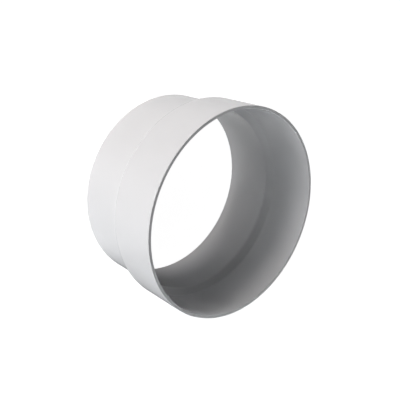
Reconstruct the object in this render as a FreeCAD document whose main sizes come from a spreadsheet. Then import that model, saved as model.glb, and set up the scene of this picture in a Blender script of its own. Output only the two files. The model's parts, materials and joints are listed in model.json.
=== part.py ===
"""Duct reducer: a one-piece moulded tube that steps from a 160 mm spigot down to a 150 mm spigot.

The part stands on the lip of its small end. The origin is the middle of that lip and +Z runs up
the bore to the large mouth. Lengths are in millimetres.
"""
import FreeCAD, Part
import os

import PartDesign  # noqa: F401  registers the body and its features
import Sketcher

NODE = "reducer_shell"
FULL_TURN = 360.0
FOUND_WITHIN = 1e-4

SIZES = [
    ("large_od", 160.0, "outside diameter of the large spigot"),
    ("small_od", 150.0, "outside diameter of the small spigot"),
    ("wall", 2.3, "thickness of the moulded wall"),
    ("large_grip", 39.8, "length of the large spigot, from its lip to the cone's corner"),
    ("small_grip", 40.7, "length of the small spigot, from its lip to the cone's corner"),
    ("cone_run", 5.0, "length of the cone along the bore, corner to corner"),
    ("small_knee", 0.5, "outside radius where the small spigot turns into the cone"),
    ("large_knee", 1.7, "inside radius where the cone turns into the large spigot"),
    ("lip_round", 0.4, "radius on the four edges of the two lips"),
]


def make_sheet(doc):
    """The driving dimensions, one row each: name, value, meaning."""
    sheet = doc.addObject("Spreadsheet::Sheet", "sizes")
    for row, (alias, value, meaning) in enumerate(SIZES, start=1):
        sheet.set(f"A{row}", alias)
        sheet.set(f"B{row}", str(value))
        sheet.set(f"C{row}", meaning)
        sheet.setAlias(f"B{row}", alias)
    doc.recompute()
    return sheet


def origin_plane(body, role):
    """One of the body's own origin planes, such as XZ_Plane."""
    return next(plane for plane in body.Origin.OriginFeatures if plane.Role == role)


def step_heights(sheet):
    """Heights above the small lip of the cone's foot, the cone's head and the large lip."""
    cone_foot = sheet.small_grip
    cone_head = cone_foot + sheet.cone_run
    return cone_foot, cone_head, cone_head + sheet.large_grip


def outer_profile(body, sheet):
    """Half of the outer form as a closed outline: small lip, spigot, cone, spigot, large lip, axis."""
    small_r, large_r = sheet.small_od / 2, sheet.large_od / 2
    cone_foot, cone_head, top = step_heights(sheet)
    corners = [(0, 0), (small_r, 0), (small_r, cone_foot), (large_r, cone_head), (large_r, top), (0, top)]

    sketch = body.newObject("Sketcher::SketchObject", "outer_profile")
    sketch.AttachmentSupport = (origin_plane(body, "XZ_Plane"), [""])
    sketch.MapMode = "FlatFace"
    points = [FreeCAD.Vector(x, y, 0) for x, y in corners]
    for start, end in zip(points, points[1:] + points[:1]):
        sketch.addGeometry(Part.LineSegment(start, end), False)

    small_lip, small_side, cone, large_side, large_lip, axis = range(len(corners))
    start_point, end_point = 1, 2
    for line in (small_lip, small_side, cone, large_side, large_lip, axis):
        following = (line + 1) % len(corners)
        sketch.addConstraint(Sketcher.Constraint("Coincident", line, end_point, following, start_point))
    sketch.addConstraint(Sketcher.Constraint("Coincident", small_lip, start_point, -1, 1))
    for line in (small_lip, large_lip):
        sketch.addConstraint(Sketcher.Constraint("Horizontal", line))
    for line in (small_side, large_side, axis):
        sketch.addConstraint(Sketcher.Constraint("Vertical", line))

    driven = [
        ("small_radius", "DistanceX", small_lip, small_r, "sizes.small_od / 2"),
        ("large_radius", "DistanceX", large_lip, large_r, "sizes.large_od / 2"),
        ("small_grip", "DistanceY", small_side, cone_foot, "sizes.small_grip"),
        ("cone_run", "DistanceY", cone, sheet.cone_run, "sizes.cone_run"),
        ("large_grip", "DistanceY", large_side, sheet.large_grip, "sizes.large_grip"),
    ]
    for name, kind, line, value, expression in driven:
        first, second = (end_point, start_point) if line == large_lip else (start_point, end_point)
        index = sketch.addConstraint(Sketcher.Constraint(kind, line, first, line, second, value))
        sketch.renameConstraint(index, name)
        sketch.setExpression(f"Constraints.{name}", expression)
    return sketch


def revolve(body, sketch):
    """The solid form of the outside, turned once round the bore's axis."""
    form = body.newObject("PartDesign::Revolution", "outer_form")
    form.Profile = sketch
    form.ReferenceAxis = (sketch, ["V_Axis"])
    form.Angle = FULL_TURN
    sketch.Visibility = False
    return form


def circle_edges(feature, places):
    """Names of the feature's round edges at the given places, each a radius and a height."""
    names = []
    for number, edge in enumerate(feature.Shape.Edges, start=1):
        if not isinstance(edge.Curve, Part.Circle):
            continue
        for radius, height in places:
            same_radius = abs(edge.Curve.Radius - radius) < FOUND_WITHIN
            if same_radius and abs(edge.Curve.Center.z - height) < FOUND_WITHIN:
                names.append(f"Edge{number}")
    return names


def end_faces(feature, heights):
    """Names of the feature's flat faces at the given heights."""
    return [
        f"Face{number}"
        for number, face in enumerate(feature.Shape.Faces, start=1)
        if isinstance(face.Surface, Part.Plane)
        and any(abs(face.CenterOfMass.z - height) < FOUND_WITHIN for height in heights)
    ]


def round_edges(body, base, name, places, expression):
    """A fillet on the round edges at the given places, its radius bound to the sheet."""
    fillet = body.newObject("PartDesign::Fillet", name)
    fillet.Base = (base, circle_edges(base, places))
    fillet.setExpression("Radius", expression)
    body.Document.recompute()
    return fillet


def hollow_out(body, base, heights):
    """The form as a shell of one wall thickness, open at both ends.

    The wall is taken off inwards, so every inside knee shares its centre with the outside one
    and the wall is as thick round the step as along the spigots.
    """
    shell = body.newObject("PartDesign::Thickness", "even_wall")
    shell.Base = (base, end_faces(base, heights))
    shell.Reversed = True
    shell.Join = "Intersection"
    shell.setExpression("Value", "sizes.wall")
    body.Document.recompute()
    return shell


def make_reducer(doc, sheet):
    """The reducer's one solid, built outside first and hollowed after its knees are rounded."""
    body = doc.addObject("PartDesign::Body", NODE)
    body.Label = NODE
    form = revolve(body, outer_profile(body, sheet))
    doc.recompute()

    small_r, large_r = sheet.small_od / 2, sheet.large_od / 2
    cone_foot, cone_head, top = step_heights(sheet)

    foot = round_edges(body, form, "small_knee_round", [(small_r, cone_foot)], "sizes.small_knee")
    head = round_edges(
        body, foot, "large_knee_round", [(large_r, cone_head)], "sizes.large_knee + sizes.wall"
    )
    shell = hollow_out(body, head, [0, top])
    lips = [(radius - inset, height) for radius, height in ((small_r, 0), (large_r, top))
            for inset in (0, sheet.wall)]
    body.Tip = round_edges(body, shell, "lip_rounds", lips, "sizes.lip_round")
    return body


def check(doc, bodies):
    """Stops the run if any object failed or a sub-part has no valid solid."""
    failed = [item.Name for item in doc.Objects if {"Invalid", "Error"} & set(item.State)]
    if failed:
        raise SystemExit(f"these objects failed: {failed}")
    for body in bodies:
        shape = body.Shape
        if shape.isNull() or not shape.isValid() or not shape.Solids:
            raise SystemExit(f"{body.Label} has no valid solid")


def write_parts(bodies):
    """One STEP file for each sub-part, named by its label."""
    os.makedirs("parts", exist_ok=True)
    for body in bodies:
        body.Shape.exportStep(f"parts/{body.Label}.step")
        print(f"{body.Label}: {body.Shape.Volume:.1f} cubic mm, {len(body.Shape.Faces)} faces")


def main():
    """Builds the document, checks it and writes the part."""
    doc = FreeCAD.newDocument("duct_reducer")
    sheet = make_sheet(doc)
    bodies = [make_reducer(doc, sheet)]
    doc.recompute()
    check(doc, bodies)
    write_parts(bodies)


main()
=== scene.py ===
"""Looks of a duct reducer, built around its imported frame.

The reducer is one moulded shell: a wide spigot, a short cone and a slightly narrower spigot. It
stands on the lip of its narrow end and +Z runs up the bore. Every length is in metres.
"""

import json
import logging
import math
from dataclasses import dataclass
from enum import Enum

import bpy
import numpy as np
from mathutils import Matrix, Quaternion, Vector


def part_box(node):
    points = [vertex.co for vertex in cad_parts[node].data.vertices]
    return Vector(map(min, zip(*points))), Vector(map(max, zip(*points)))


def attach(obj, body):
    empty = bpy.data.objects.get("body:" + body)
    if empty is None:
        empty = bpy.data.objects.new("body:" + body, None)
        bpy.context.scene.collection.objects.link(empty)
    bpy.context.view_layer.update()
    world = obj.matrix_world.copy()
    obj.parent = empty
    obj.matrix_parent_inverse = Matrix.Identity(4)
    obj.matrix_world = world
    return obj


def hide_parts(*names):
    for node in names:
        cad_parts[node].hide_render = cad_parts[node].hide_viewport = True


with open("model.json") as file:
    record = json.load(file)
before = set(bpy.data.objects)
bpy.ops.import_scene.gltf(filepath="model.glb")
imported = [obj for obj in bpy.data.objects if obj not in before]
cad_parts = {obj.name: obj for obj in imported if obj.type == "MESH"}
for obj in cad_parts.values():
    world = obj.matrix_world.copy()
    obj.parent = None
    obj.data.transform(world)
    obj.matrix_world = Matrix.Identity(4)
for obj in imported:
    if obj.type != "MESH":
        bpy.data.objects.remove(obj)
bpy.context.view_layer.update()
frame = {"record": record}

log = logging.getLogger("duct_reducer")

ROOT_BODY = "root"
SHELL_NODE = "reducer_shell"
PLASTIC_SLOT = "white_plastic"

Socket = bpy.types.NodeSocket
Value = Socket | float | tuple[float, ...]
Colour = tuple[float, float, float]
Place = tuple[float, float, float]

# The range that noise seldom leaves, from which masks are stretched
NOISE_LOW, NOISE_HIGH = 0.3, 0.7

# The size of the skin's waves round the bore, as a share of their size along it
WAVE_DRAW = 0.35
WAVE_DETAIL = 1.0
GRAIN_DETAIL = 2.0

# Wear is at its least up to the first of these values of its noise
PATCH_LOW = 0.35
PATCH_LEAST = 0.25
PATCH_DETAIL = 3.0


class Ray(Enum):
    """The kinds of ray that a surface can treat in their own way, by their Light Path output."""

    CAMERA = "Is Camera Ray"
    GLOSSY = "Is Glossy Ray"
    TRANSMISSION = "Is Transmission Ray"


STRAIGHT_RAYS = (Ray.CAMERA, Ray.TRANSMISSION)
SEEING_RAYS = STRAIGHT_RAYS + (Ray.GLOSSY,)


def opaque(colour: Colour) -> tuple[float, ...]:
    """The colour with the alpha of one that a colour socket also takes."""
    return colour + (1.0,)


def direction(bearing_deg: float, elevation_deg: float) -> Vector:
    """The way from the object to something that stands round it, as a vector of length one.

    It is the bearing's sine, minus its cosine, both times the elevation's cosine, and then the
    elevation's sine.

    Args:
        bearing_deg: 0 in front of the object, on the -Y side, and growing towards +X.
        elevation_deg: 0 on a level with the object, and growing upwards.

    Returns:
        The direction.
    """
    bearing, elevation = math.radians(bearing_deg), math.radians(elevation_deg)
    return Vector((
        math.sin(bearing) * math.cos(elevation),
        -math.cos(bearing) * math.cos(elevation),
        math.sin(elevation),
    ))


class Graph:
    """A node tree with short ways to add nodes and join their sockets."""

    def __init__(self, tree: bpy.types.NodeTree) -> None:
        """Keeps the tree that the nodes go into."""
        self.tree = tree

    def add(
        self, kind: str, inputs: dict[str | int, Value] | None = None, **settings: object
    ) -> bpy.types.Node:
        """Adds a node.

        Args:
            kind: The node's type, such as "ShaderNodeMath".
            inputs: Values or sockets for its inputs, by name or number.
            settings: Properties of the node itself, set before its inputs.

        Returns:
            The new node.
        """
        node = self.tree.nodes.new(kind)
        for name, value in settings.items():
            setattr(node, name, value)
        for key, value in (inputs or {}).items():
            self.feed(node.inputs[key], value)
        return node

    def feed(self, socket: Socket, value: Value) -> None:
        """Joins a socket to another one, or gives it a plain value.

        Args:
            socket: The input that is fed.
            value: The socket to join it to, or its plain value.
        """
        if isinstance(value, Socket):
            self.tree.links.new(value, socket)
        else:
            socket.default_value = value

    def math(self, operation: str, *values: Value) -> Socket:
        """The result of one Math node on the given values or sockets."""
        node = self.add("ShaderNodeMath", dict(enumerate(values)), operation=operation)
        return node.outputs[0]

    def highest(self, first: Socket, *others: Socket) -> Socket:
        """The highest of the given sockets at each point.

        Args:
            first: One of the sockets.
            others: The rest of them, if there are any.

        Returns:
            The highest, or the first itself where it is the only one.
        """
        for other in others:
            first = self.math("MAXIMUM", first, other)
        return first

    def dot(self, place: Socket, way: Place) -> Socket:
        """How far a place lies along a direction of length one."""
        node = self.add("ShaderNodeVectorMath", {0: place, 1: way}, operation="DOT_PRODUCT")
        return node.outputs["Value"]

    def noise(self, place: Socket, size: Value, detail: float) -> Socket:
        """Smooth noise.

        Args:
            place: The coordinates that it is read at.
            size: The size of its features, in the same unit.
            detail: How many finer layers lie on the first.

        Returns:
            The noise, which seldom leaves the range from NOISE_LOW to NOISE_HIGH.
        """
        scale = self.math("DIVIDE", 1.0, size)
        node = self.add("ShaderNodeTexNoise", {"Vector": place, "Scale": scale, "Detail": detail})
        return node.outputs["Fac"]

    def ramp(self, value: Value, low: float, high: float, at_low: float, at_high: float) -> Socket:
        """The value carried smoothly from one range to another, held at both ends.

        Args:
            value: The value that is carried over.
            low: Where the ramp begins.
            high: Where it ends.
            at_low: The result up to its beginning.
            at_high: The result from its end on.

        Returns:
            The result.
        """
        node = self.add(
            "ShaderNodeMapRange",
            {
                "Value": value,
                "From Min": low,
                "From Max": high,
                "To Min": at_low,
                "To Max": at_high,
            },
            interpolation_type="SMOOTHSTEP",
        )
        return node.outputs["Result"]

    def blend(self, share: Socket, first: Value, second: Value) -> Socket:
        """One colour turned into another.

        Args:
            share: How far it is turned, from 0 to 1.
            first: The colour at 0, with its alpha.
            second: The colour at 1, with its alpha.

        Returns:
            The blended colour.
        """
        node = self.add("ShaderNodeMix", data_type="RGBA")
        colours = [socket for socket in node.inputs if socket.type == "RGBA"]
        self.feed(node.inputs[0], share)
        self.feed(colours[0], first)
        self.feed(colours[1], second)
        return next(socket for socket in node.outputs if socket.type == "RGBA")


def ray_mask(graph: Graph, rays: tuple[Ray, ...]) -> Socket:
    """A mask that is one for the given kinds of ray and zero for all others."""
    path = graph.add("ShaderNodeLightPath").outputs
    return graph.highest(*(path[ray.value] for ray in rays))


def new_material(name: str) -> tuple[bpy.types.Material, Graph]:
    """Starts a material.

    Args:
        name: The material's name.

    Returns:
        The material and its graph, which has no nodes yet.
    """
    material = bpy.data.materials.new(name)
    material.use_nodes = True
    material.node_tree.nodes.clear()
    return material, Graph(material.node_tree)


def new_group(name: str, numbers: dict[str, float], outputs: tuple[str, ...]) -> Graph:
    """Starts a shader node group whose first input is a vector.

    Args:
        name: The group's name.
        numbers: Its other inputs, all plain numbers, with their defaults.
        outputs: The names of its outputs, all plain numbers.

    Returns:
        The group's graph, which has its sockets and no nodes yet.
    """
    tree = bpy.data.node_groups.new(name, "ShaderNodeTree")
    tree.interface.new_socket("Vector", in_out="INPUT", socket_type="NodeSocketVector")
    for label, default in numbers.items():
        socket = tree.interface.new_socket(label, in_out="INPUT", socket_type="NodeSocketFloat")
        socket.default_value = default
    for label in outputs:
        tree.interface.new_socket(label, in_out="OUTPUT", socket_type="NodeSocketFloat")
    return Graph(tree)


def moulded_skin_group() -> bpy.types.NodeTree:
    """The skin of a moulding: slow waves of shrinkage and a fine grain, as a height and masks.

    Waves are noise whose features are drawn out along the bore, as the plastic flowed. Grain is
    noise of one small size. The height is in metres. Mottle, which follows the waves, and grain
    run from 0 to 1.

    Returns:
        The group's tree.
    """
    graph = new_group(
        "moulded_skin",
        {"Wave Size": 0.03, "Wave Height": 1e-5, "Grain Size": 0.0006, "Grain Height": 1e-6},
        ("Height", "Mottle", "Grain"),
    )
    source = graph.add("NodeGroupInput").outputs
    drawn_out = graph.add(
        "ShaderNodeVectorMath",
        {0: source["Vector"], 1: (1.0, 1.0, WAVE_DRAW)},
        operation="MULTIPLY",
    ).outputs[0]
    wave = graph.noise(drawn_out, source["Wave Size"], WAVE_DETAIL)
    grain = graph.noise(source["Vector"], source["Grain Size"], GRAIN_DETAIL)
    height = graph.math(
        "ADD",
        graph.math("MULTIPLY", wave, source["Wave Height"]),
        graph.math("MULTIPLY", grain, source["Grain Height"]),
    )
    graph.add("NodeGroupOutput", {"Height": height, "Mottle": wave, "Grain": grain})
    return graph.tree


def lip_wear_group() -> bpy.types.NodeTree:
    """Handling wear on a lip: full at the lip's height, broken up by noise, gone past its reach.

    Returns:
        The group's tree.
    """
    graph = new_group(
        "lip_wear",
        {"Lip Height": 0.0, "Reach": 0.001, "Patch Size": 0.004},
        ("Wear",),
    )
    source = graph.add("NodeGroupInput").outputs
    height = graph.add("ShaderNodeSeparateXYZ", {0: source["Vector"]}).outputs["Z"]
    away = graph.math("ABSOLUTE", graph.math("SUBTRACT", height, source["Lip Height"]))
    near = graph.math("SUBTRACT", 1.0, graph.math("DIVIDE", away, source["Reach"]))
    patches = graph.noise(source["Vector"], source["Patch Size"], PATCH_DETAIL)
    broken = graph.ramp(patches, PATCH_LOW, NOISE_HIGH, PATCH_LEAST, 1.0)
    wear = graph.math("MULTIPLY", graph.math("MAXIMUM", near, 0.0), broken)
    graph.add("NodeGroupOutput", {"Wear": wear})
    return graph.tree


@dataclass(frozen=True)
class MouldedPlastic:
    """White semi-gloss plastic as it comes from the mould, slightly dulled where it is handled."""

    colour: Colour = (0.86, 0.86, 0.865)
    worn_colour: Colour = (0.80, 0.80, 0.80)
    mottle: float = 0.012
    roughness: float = 0.07
    roughness_spread: float = 0.015
    worn_roughness: float = 0.3
    ior: float = 1.5
    wave_size: float = 0.035
    wave_height: float = 2e-6
    grain_size: float = 0.0007
    grain_height: float = 1e-7
    lip_reach: float = 0.0012
    wear_patch: float = 0.006

    def material(self, name: str, lips: tuple[float, ...]) -> bpy.types.Material:
        """Makes the finish as a material.

        The skin's height is in metres already, so the bump passes it on as it is.

        Args:
            name: The material's name.
            lips: Heights along the bore where the piece is handled most.

        Returns:
            The material, with its patterns in Object coordinates.
        """
        material, graph = new_material(name)
        place = graph.add("ShaderNodeTexCoord").outputs["Object"]
        skin = graph.add(
            "ShaderNodeGroup",
            {
                "Vector": place,
                "Wave Size": self.wave_size,
                "Wave Height": self.wave_height,
                "Grain Size": self.grain_size,
                "Grain Height": self.grain_height,
            },
            node_tree=moulded_skin_group(),
        ).outputs
        wear = self.wear(graph, place, lips)
        shader = graph.add(
            "ShaderNodeBsdfPrincipled",
            {
                "Base Color": self.tint(graph, skin["Mottle"], wear),
                "Roughness": self.gloss(graph, skin["Grain"], wear),
                "IOR": self.ior,
                "Normal": graph.add(
                    "ShaderNodeBump",
                    {"Height": skin["Height"], "Strength": 1.0, "Distance": 1.0},
                ).outputs["Normal"],
            },
        )
        graph.add("ShaderNodeOutputMaterial", {"Surface": shader.outputs[0]})
        return material

    def wear(self, graph: Graph, place: Socket, lips: tuple[float, ...]) -> Socket:
        """The wear of the most worn lip at each point.

        Args:
            graph: The material's graph.
            place: The piece's Object coordinates.
            lips: The lips' heights along the bore.

        Returns:
            The wear, from 0 to 1.
        """
        group = lip_wear_group()
        worn = [
            graph.add(
                "ShaderNodeGroup",
                {
                    "Vector": place,
                    "Lip Height": lip,
                    "Reach": self.lip_reach,
                    "Patch Size": self.wear_patch,
                },
                node_tree=group,
            )
            for lip in lips
        ]
        return graph.highest(*(node.outputs["Wear"] for node in worn))

    def tint(self, graph: Graph, mottle: Socket, wear: Socket) -> Socket:
        """The colour: a little lighter and darker with the mottle, and duller where it is worn.

        Args:
            graph: The material's graph.
            mottle: The skin's mottle.
            wear: The wear, from 0 to 1.

        Returns:
            The colour.
        """
        darker, lighter = (
            opaque(tuple(channel * (1 + side * self.mottle) for channel in self.colour))
            for side in (-1, 1)
        )
        share = graph.ramp(mottle, NOISE_LOW, NOISE_HIGH, 0.0, 1.0)
        return graph.blend(wear, graph.blend(share, darker, lighter), opaque(self.worn_colour))

    def gloss(self, graph: Graph, grain: Socket, wear: Socket) -> Socket:
        """The roughness: even, broken a little by the grain, and duller where it is worn.

        Args:
            graph: The material's graph.
            grain: The skin's grain.
            wear: The wear, from 0 to 1.

        Returns:
            The roughness.
        """
        low = self.roughness - self.roughness_spread
        high = self.roughness + self.roughness_spread
        even = graph.ramp(grain, NOISE_LOW, NOISE_HIGH, low, high)
        extra = graph.math("MULTIPLY", wear, self.worn_roughness - self.roughness)
        return graph.math("ADD", even, extra)


@dataclass(frozen=True)
class PlainFloor:
    """A pale floor that shows white and still takes the shadow of what stands on it.

    It casts no shadow, so lamps that hang lower than the floor shine through it. To glossy rays
    alone it glows with a painted reflection: pale over most of its face, and dark past a line on
    one side, where that painted reflection holds a painted shade.
    """

    radius: float = 6.0
    sides: int = 96
    colour: Colour = (0.8, 0.8, 0.8)
    shown_colour: Colour = (0.25, 0.25, 0.25)
    glow: float = 0.97
    # The painted reflection that only glossy rays see, and past a line on one side its painted
    # shade
    painted_reflection_level: float = 0.55
    painted_shade_side_deg: float = 45.0
    pale_up_to: float = 0.01
    painted_shade_from: float = 0.045

    def build(self) -> bpy.types.Object:
        """Makes the floor, a flat disc at height zero.

        A corner of the disc at turn t is the radius times cos t and sin t.

        Returns:
            The floor.
        """
        turn = np.linspace(0.0, 2 * math.pi, self.sides, endpoint=False)
        rim = np.column_stack([np.cos(turn), np.sin(turn), np.zeros_like(turn)]) * self.radius
        mesh = bpy.data.meshes.new("floor")
        mesh.from_pydata(rim.tolist(), [], [list(range(self.sides))])
        mesh.materials.append(self.material())
        floor = bpy.data.objects.new("floor", mesh)
        floor.visible_shadow = False
        bpy.context.scene.collection.objects.link(floor)
        return floor

    def material(self) -> bpy.types.Material:
        """A matt white surface that the straight rays meet as a white glow with a faint shadow.

        Returns:
            The material.
        """
        material, graph = new_material("pale_floor")
        seen = ray_mask(graph, SEEING_RAYS)
        colour = graph.blend(seen, opaque(self.colour), opaque(self.shown_colour))
        matt = graph.add("ShaderNodeBsdfDiffuse", {"Color": colour})
        white = graph.math("MULTIPLY", ray_mask(graph, STRAIGHT_RAYS), self.glow)
        # Glossy rays alone meet a painted reflection, with painted shade past a line on one side
        painted_reflection_glow = graph.math("MULTIPLY", ray_mask(graph, (Ray.GLOSSY,)), self.painted_reflection(graph))
        glow = graph.add("ShaderNodeEmission", {"Strength": graph.math("ADD", white, painted_reflection_glow)})
        both = graph.add("ShaderNodeAddShader", {0: matt.outputs[0], 1: glow.outputs[0]})
        graph.add("ShaderNodeOutputMaterial", {"Surface": both.outputs[0]})
        return material

    def painted_reflection(self, graph: Graph) -> Socket:
        """The painted reflection that glossy rays find in the floor, turning to painted shade by
        how far a point lies to the dark side.

        Args:
            graph: The floor material's graph.

        Returns:
            The glow's strength.
        """
        place = graph.add("ShaderNodeTexCoord").outputs["Object"]
        turn = math.radians(self.painted_shade_side_deg)
        towards = graph.dot(place, (math.cos(turn), math.sin(turn), 0.0))
        return graph.ramp(towards, self.pale_up_to, self.painted_shade_from, self.painted_reflection_level, 0.0)


@dataclass(frozen=True)
class StudioSky:
    """A faint even light from all round, which shows as white to the straight rays.

    To glossy rays alone it is a painted reflection: a dim glow all round, and one painted
    highlight high behind.
    """

    colour: Colour = (1.0, 1.0, 1.0)
    level: float = 0.02
    shown_level: float = 1.0
    # The painted reflection that only glossy rays see: a dim level, and a painted highlight high
    # behind
    painted_room_level: float = 0.22
    painted_highlight_level: float = 1.0
    painted_highlight_elevation_deg: float = 45.0
    painted_highlight_fades_from_deg: float = 15.0
    painted_highlight_ends_at_deg: float = 40.0

    def build(self) -> bpy.types.World:
        """Makes the world and gives it to the scene.

        Returns:
            The world.
        """
        world = bpy.data.worlds.new("studio_sky")
        world.use_nodes = True
        world.node_tree.nodes.clear()
        graph = Graph(world.node_tree)
        straight, glossy = ray_mask(graph, STRAIGHT_RAYS), ray_mask(graph, (Ray.GLOSSY,))
        shown = graph.math("MULTIPLY", straight, self.shown_level - self.level)
        # Glossy rays alone see this painted reflection in place of the faint even light
        painted_room = graph.math("SUBTRACT", self.painted_reflection_room(graph), self.level)
        both = graph.math("ADD", shown, graph.math("MULTIPLY", glossy, painted_room))
        light = graph.add(
            "ShaderNodeBackground",
            {"Color": opaque(self.colour), "Strength": graph.math("ADD", both, self.level)},
        )
        graph.add("ShaderNodeOutputWorld", {"Surface": light.outputs[0]})
        bpy.context.scene.world = world
        return world

    def painted_reflection_room(self, graph: Graph) -> Socket:
        """The painted reflection that glossy rays find in each direction: dim, and rising to a
        painted highlight by the angle from the highlight's centre.

        Args:
            graph: The world's graph.

        Returns:
            The level.
        """
        way = graph.add("ShaderNodeTexCoord").outputs["Generated"]
        up = math.radians(self.painted_highlight_elevation_deg)
        near = graph.dot(way, (0.0, math.cos(up), math.sin(up)))
        ends = math.cos(math.radians(self.painted_highlight_ends_at_deg))
        full = math.cos(math.radians(self.painted_highlight_fades_from_deg))
        return graph.ramp(near, ends, full, self.painted_room_level, self.painted_highlight_level)


@dataclass(frozen=True)
class SoftLamp:
    """A flat soft lamp, placed by its bearing and elevation from the object and turned to it."""

    name: str
    bearing_deg: float
    elevation_deg: float
    width: float
    height: float
    power: float
    colour: Colour
    distance: float = 1.0

    def build(self, aim: Vector) -> bpy.types.Object:
        """Makes the lamp, which only direct samples reach.

        With multiple importance sampling, a low lamp would lose the part of its light that Cycles
        leaves to chance rays, because the floor stops those.

        Args:
            aim: The point that the lamp stands round and faces.

        Returns:
            The lamp.
        """
        out = direction(self.bearing_deg, self.elevation_deg)
        light = bpy.data.lights.new(self.name, "AREA")
        light.shape = "RECTANGLE"
        light.size, light.size_y = self.width, self.height
        light.energy = self.power
        light.color = self.colour
        light.cycles.use_multiple_importance_sampling = False
        lamp = bpy.data.objects.new(self.name, light)
        lamp.location = aim + out * self.distance
        lamp.rotation_mode = "QUATERNION"
        lamp.rotation_quaternion = (-out).to_track_quat("-Z", "Y")
        lamp.visible_camera = False
        bpy.context.scene.collection.objects.link(lamp)
        return lamp


@dataclass(frozen=True)
class PhotoCamera:
    """The photograph's camera: where it stands round the object, how it is turned, and its lens."""

    aim: Place = (0.0003, 0.0, 0.0425)
    distance: float = 0.4783
    bearing_deg: float = -0.05
    elevation_deg: float = 45.725
    roll_deg: float = 112.6
    lens_mm: float = 55.554
    sensor_mm: float = 36.0
    near: float = 0.01
    far: float = 50.0

    def build(self) -> bpy.types.Object:
        """Makes the camera and gives it to the scene.

        Returns:
            The camera.
        """
        back = direction(self.bearing_deg, self.elevation_deg)
        view = bpy.data.cameras.new("photo_camera")
        view.lens, view.sensor_width = self.lens_mm, self.sensor_mm
        view.clip_start, view.clip_end = self.near, self.far
        camera = bpy.data.objects.new("photo_camera", view)
        camera.location = Vector(self.aim) + back * self.distance
        camera.rotation_mode = "QUATERNION"
        roll = Quaternion((0.0, 0.0, 1.0), math.radians(self.roll_deg))
        camera.rotation_quaternion = (-back).to_track_quat("-Z", "Y") @ roll
        bpy.context.scene.collection.objects.link(camera)
        bpy.context.scene.camera = camera
        return camera


def rounded_outline(
    corners: np.ndarray, radii: np.ndarray, arc_step: float, side_step: float
) -> tuple[np.ndarray, np.ndarray]:
    """Points of a closed outline whose corners are arcs, with the outward normal at each.

    The outline runs with its inside on the left. Each corner's arc starts and ends the radius
    times the tangent of half the turn from the corner, and its centre lies square to the side,
    one radius away. Along the arc the normal turns evenly from one side's to the next side's,
    and each point is the centre plus the normal times the radius, or minus it where the corner
    turns inwards. Along a side the normal stays and the points are evenly spaced.

    Args:
        corners: One row for each corner, its radius from the bore's axis and its height.
        radii: The arc's radius at each corner.
        arc_step: The largest turn between two points of an arc, in radians.
        side_step: The largest distance between two points of a side.

    Returns:
        The points and their normals, as two arrays of the same length.
    """
    sides = np.roll(corners, -1, axis=0) - corners
    sides /= np.linalg.norm(sides, axis=1)[:, None]
    normals = np.column_stack([sides[:, 1], -sides[:, 0]])
    arriving = np.roll(sides, 1, axis=0)
    turns = np.arctan2(
        arriving[:, 0] * sides[:, 1] - arriving[:, 1] * sides[:, 0],
        (arriving * sides).sum(axis=1),
    )
    reaches = radii * np.tan(np.abs(turns) / 2)
    starts = corners - arriving * reaches[:, None]
    ends = corners + sides * reaches[:, None]
    points, facing = [], []
    for index, turn in enumerate(turns):
        bend = math.copysign(radii[index], turn)
        first = normals[index - 1]
        centre = starts[index] - first * bend
        count = max(2, math.ceil(abs(turn) / arc_step) + 1)
        angles = math.atan2(first[1], first[0]) + np.linspace(0.0, turn, count)
        arc = np.column_stack([np.cos(angles), np.sin(angles)])
        points.append(centre + arc * bend)
        facing.append(arc)
        after = starts[(index + 1) % len(corners)]
        count = max(2, math.ceil(np.linalg.norm(after - ends[index]) / side_step) + 1)
        share = np.linspace(0.0, 1.0, count)[1:-1, None]
        points.append(ends[index] * (1 - share) + after * share)
        facing.append(np.repeat(normals[index][None], count - 2, axis=0))
    return np.concatenate(points), np.concatenate(facing)


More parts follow.
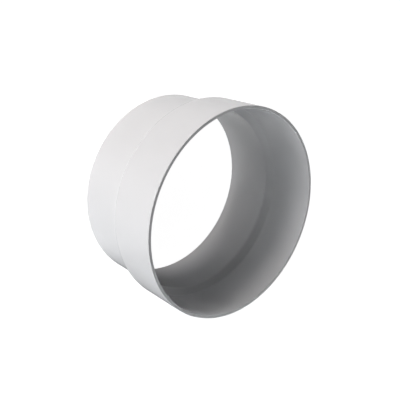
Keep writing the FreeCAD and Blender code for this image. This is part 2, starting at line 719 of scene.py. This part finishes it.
@dataclass
class ReducerShell:
    """The moulded shell: both spigots and the cone between them, with one even wall.

    The small spigot's grip runs from its lip to the cone's foot, and the cone's run from there
    to its head, both along the bore. The small knee is the outside radius at the foot and the
    large knee the inside radius at the head.
    """

    large_radius: float
    small_radius: float
    length: float
    wall: float = 0.0023
    small_grip: float = 0.0407
    cone_run: float = 0.005
    small_knee: float = 0.0005
    large_knee: float = 0.0017
    lip_round: float = 0.0004
    columns: int = 720
    arc_step: float = math.radians(7.5)
    side_step: float = 0.004

    @classmethod
    def from_frame(cls) -> "ReducerShell":
        """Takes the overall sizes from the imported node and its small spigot's mount.

        Returns:
            The shell at those sizes.
        """
        low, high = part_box(SHELL_NODE)
        mounts = {mount["name"]: mount for mount in frame["record"]["mounts"]}
        small_radius = mounts["small_spigot"]["dims"]["r_mm"] / 1000
        return cls(large_radius=high.x, small_radius=small_radius, length=high.z - low.z)

    def section(self) -> tuple[np.ndarray, np.ndarray]:
        """The wall's closed section and its normals, up the outside and down the inside.

        The inside is the outside moved in by the wall, so its corners at the cone lie the wall
        times the tangent of half the cone's angle further up, and each inner knee shares its
        centre with the outer one.

        Returns:
            The section's points, each a radius and a height, and their normals.
        """
        foot, head = self.small_grip, self.small_grip + self.cone_run
        half_turn = math.atan2(self.large_radius - self.small_radius, self.cone_run) / 2
        lift = self.wall * math.tan(half_turn)
        small_bore, large_bore = self.small_radius - self.wall, self.large_radius - self.wall
        corners = np.array([
            (self.small_radius, 0.0),
            (self.small_radius, foot),
            (self.large_radius, head),
            (self.large_radius, self.length),
            (large_bore, self.length),
            (large_bore, head + lift),
            (small_bore, foot + lift),
            (small_bore, 0.0),
        ])
        radii = np.array([
            self.lip_round,
            self.small_knee,
            self.large_knee + self.wall,
            self.lip_round,
            self.lip_round,
            self.large_knee,
            self.small_knee + self.wall,
            self.lip_round,
        ])
        return rounded_outline(corners, radii, self.arc_step, self.side_step)

    def build(self) -> bpy.types.Object:
        """Makes the shell: the section carried once round the bore's axis.

        A point at turn t is the section's radius times cos t and sin t, at the section's height,
        and its normal is turned the same way. The grid closes on itself both ways.

        Returns:
            The shell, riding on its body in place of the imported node.
        """
        section, facing = self.section()
        rows = len(section)
        turn = np.linspace(0.0, 2 * math.pi, self.columns, endpoint=False)
        around = np.column_stack([np.cos(turn), np.sin(turn)])
        points = np.empty((rows, self.columns, 3))
        points[..., :2] = section[:, None, :1] * around[None]
        points[..., 2] = section[:, None, 1]
        normals = np.empty_like(points)
        normals[..., :2] = facing[:, None, :1] * around[None]
        normals[..., 2] = facing[:, None, 1]

        row, column = np.meshgrid(np.arange(rows), np.arange(self.columns), indexing="ij")
        next_row, next_column = (row + 1) % rows, (column + 1) % self.columns
        corners = ((row, column), (row, next_column), (next_row, next_column), (next_row, column))
        faces = np.stack([at_row * self.columns + at_column for at_row, at_column in corners], -1)

        mesh = bpy.data.meshes.new("moulded_shell")
        mesh.from_pydata(points.reshape(-1, 3).tolist(), [], faces.reshape(-1, 4).tolist())
        self.map_surface(mesh, section, row, column)
        mesh.polygons.foreach_set("use_smooth", np.ones(len(mesh.polygons), dtype=bool))
        mesh.normals_split_custom_set_from_vertices(normals.reshape(-1, 3).tolist())
        shell = bpy.data.objects.new("moulded_shell", mesh)
        bpy.context.scene.collection.objects.link(shell)
        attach(shell, ROOT_BODY)
        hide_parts(SHELL_NODE)
        return shell

    def map_surface(
        self, mesh: bpy.types.Mesh, section: np.ndarray, row: np.ndarray, column: np.ndarray
    ) -> None:
        """Lays the surface flat: U runs once round the bore, V once along the section.

        U is the column's share of a full turn, and V the length along the section up to the row
        as a share of the whole length round it.

        Args:
            mesh: The shell's mesh, one face for each row and column in that order.
            section: The section's points.
            row: Each face's row.
            column: Each face's column.
        """
        steps = np.linalg.norm(np.roll(section, -1, axis=0) - section, axis=1)
        along = np.concatenate([[0.0], np.cumsum(steps)]) / steps.sum()
        across = np.arange(self.columns + 1) / self.columns
        corners = ((row, column), (row, column + 1), (row + 1, column + 1), (row + 1, column))
        uv = np.stack(
            [np.stack([across[at_column], along[at_row]], -1) for at_row, at_column in corners],
            axis=2,
        )
        mesh.uv_layers.new(name="surface").data.foreach_set("uv", uv.astype(np.float32).ravel())

    def dress(self, shell: bpy.types.Object, finish: MouldedPlastic) -> None:
        """Gives the shell its finish, worn most at its two lips."""
        shell.data.materials.append(finish.material(PLASTIC_SLOT, (0.0, self.length)))


WARM = (1.0, 0.973, 0.968)
COOL = (0.97, 1.0, 1.03)

# Wide and almost level light, part of it from lower than the foot and through the small mouth
LAMPS = (
    SoftLamp(
        "key", bearing_deg=0.0, elevation_deg=6.0, width=0.4, height=0.2, power=2.3, colour=WARM
    ),
    SoftLamp(
        "low_key", bearing_deg=0.0, elevation_deg=-12.0, width=0.8, height=0.3, power=2.0,
        colour=WARM,
    ),
    SoftLamp(
        "side", bearing_deg=-50.0, elevation_deg=0.0, width=0.4, height=0.42, power=3.4, colour=WARM
    ),
    SoftLamp(
        "fill", bearing_deg=75.0, elevation_deg=3.0, width=0.5, height=0.6, power=3.9, colour=COOL
    ),
    SoftLamp(
        "high_fill", bearing_deg=50.0, elevation_deg=27.0, width=0.5, height=0.25, power=1.0,
        colour=COOL,
    ),
    SoftLamp(
        "back", bearing_deg=145.0, elevation_deg=4.0, width=0.6, height=0.3, power=4.0, colour=COOL
    ),
    SoftLamp(
        "far_side", bearing_deg=-140.0, elevation_deg=5.0, width=0.8, height=0.12, power=4.0,
        colour=COOL,
    ),
    SoftLamp(
        "high_back", bearing_deg=180.0, elevation_deg=42.0, width=0.6, height=0.3, power=0.55,
        colour=COOL,
    ),
    SoftLamp(
        "high_side", bearing_deg=120.0, elevation_deg=40.0, width=0.5, height=0.3, power=0.55,
        colour=COOL,
    ),
)


def main() -> None:
    """Builds the studio and the reducer, and reports each piece."""
    logging.basicConfig(level=logging.INFO, format="%(name)s: %(message)s")
    scene = bpy.context.scene
    scene.view_settings.view_transform = "Standard"
    camera = PhotoCamera()
    stage = [camera.build(), PlainFloor().build(), StudioSky().build()]
    stage += [lamp.build(Vector(camera.aim)) for lamp in LAMPS]
    log.info("stage: %s", ", ".join(item.name for item in stage))
    design = ReducerShell.from_frame()
    shell = design.build()
    design.dress(shell, MouldedPlastic())
    log.info("%s: %d faces", shell.name, len(shell.data.polygons))


if __name__ == "__main__":
    main()
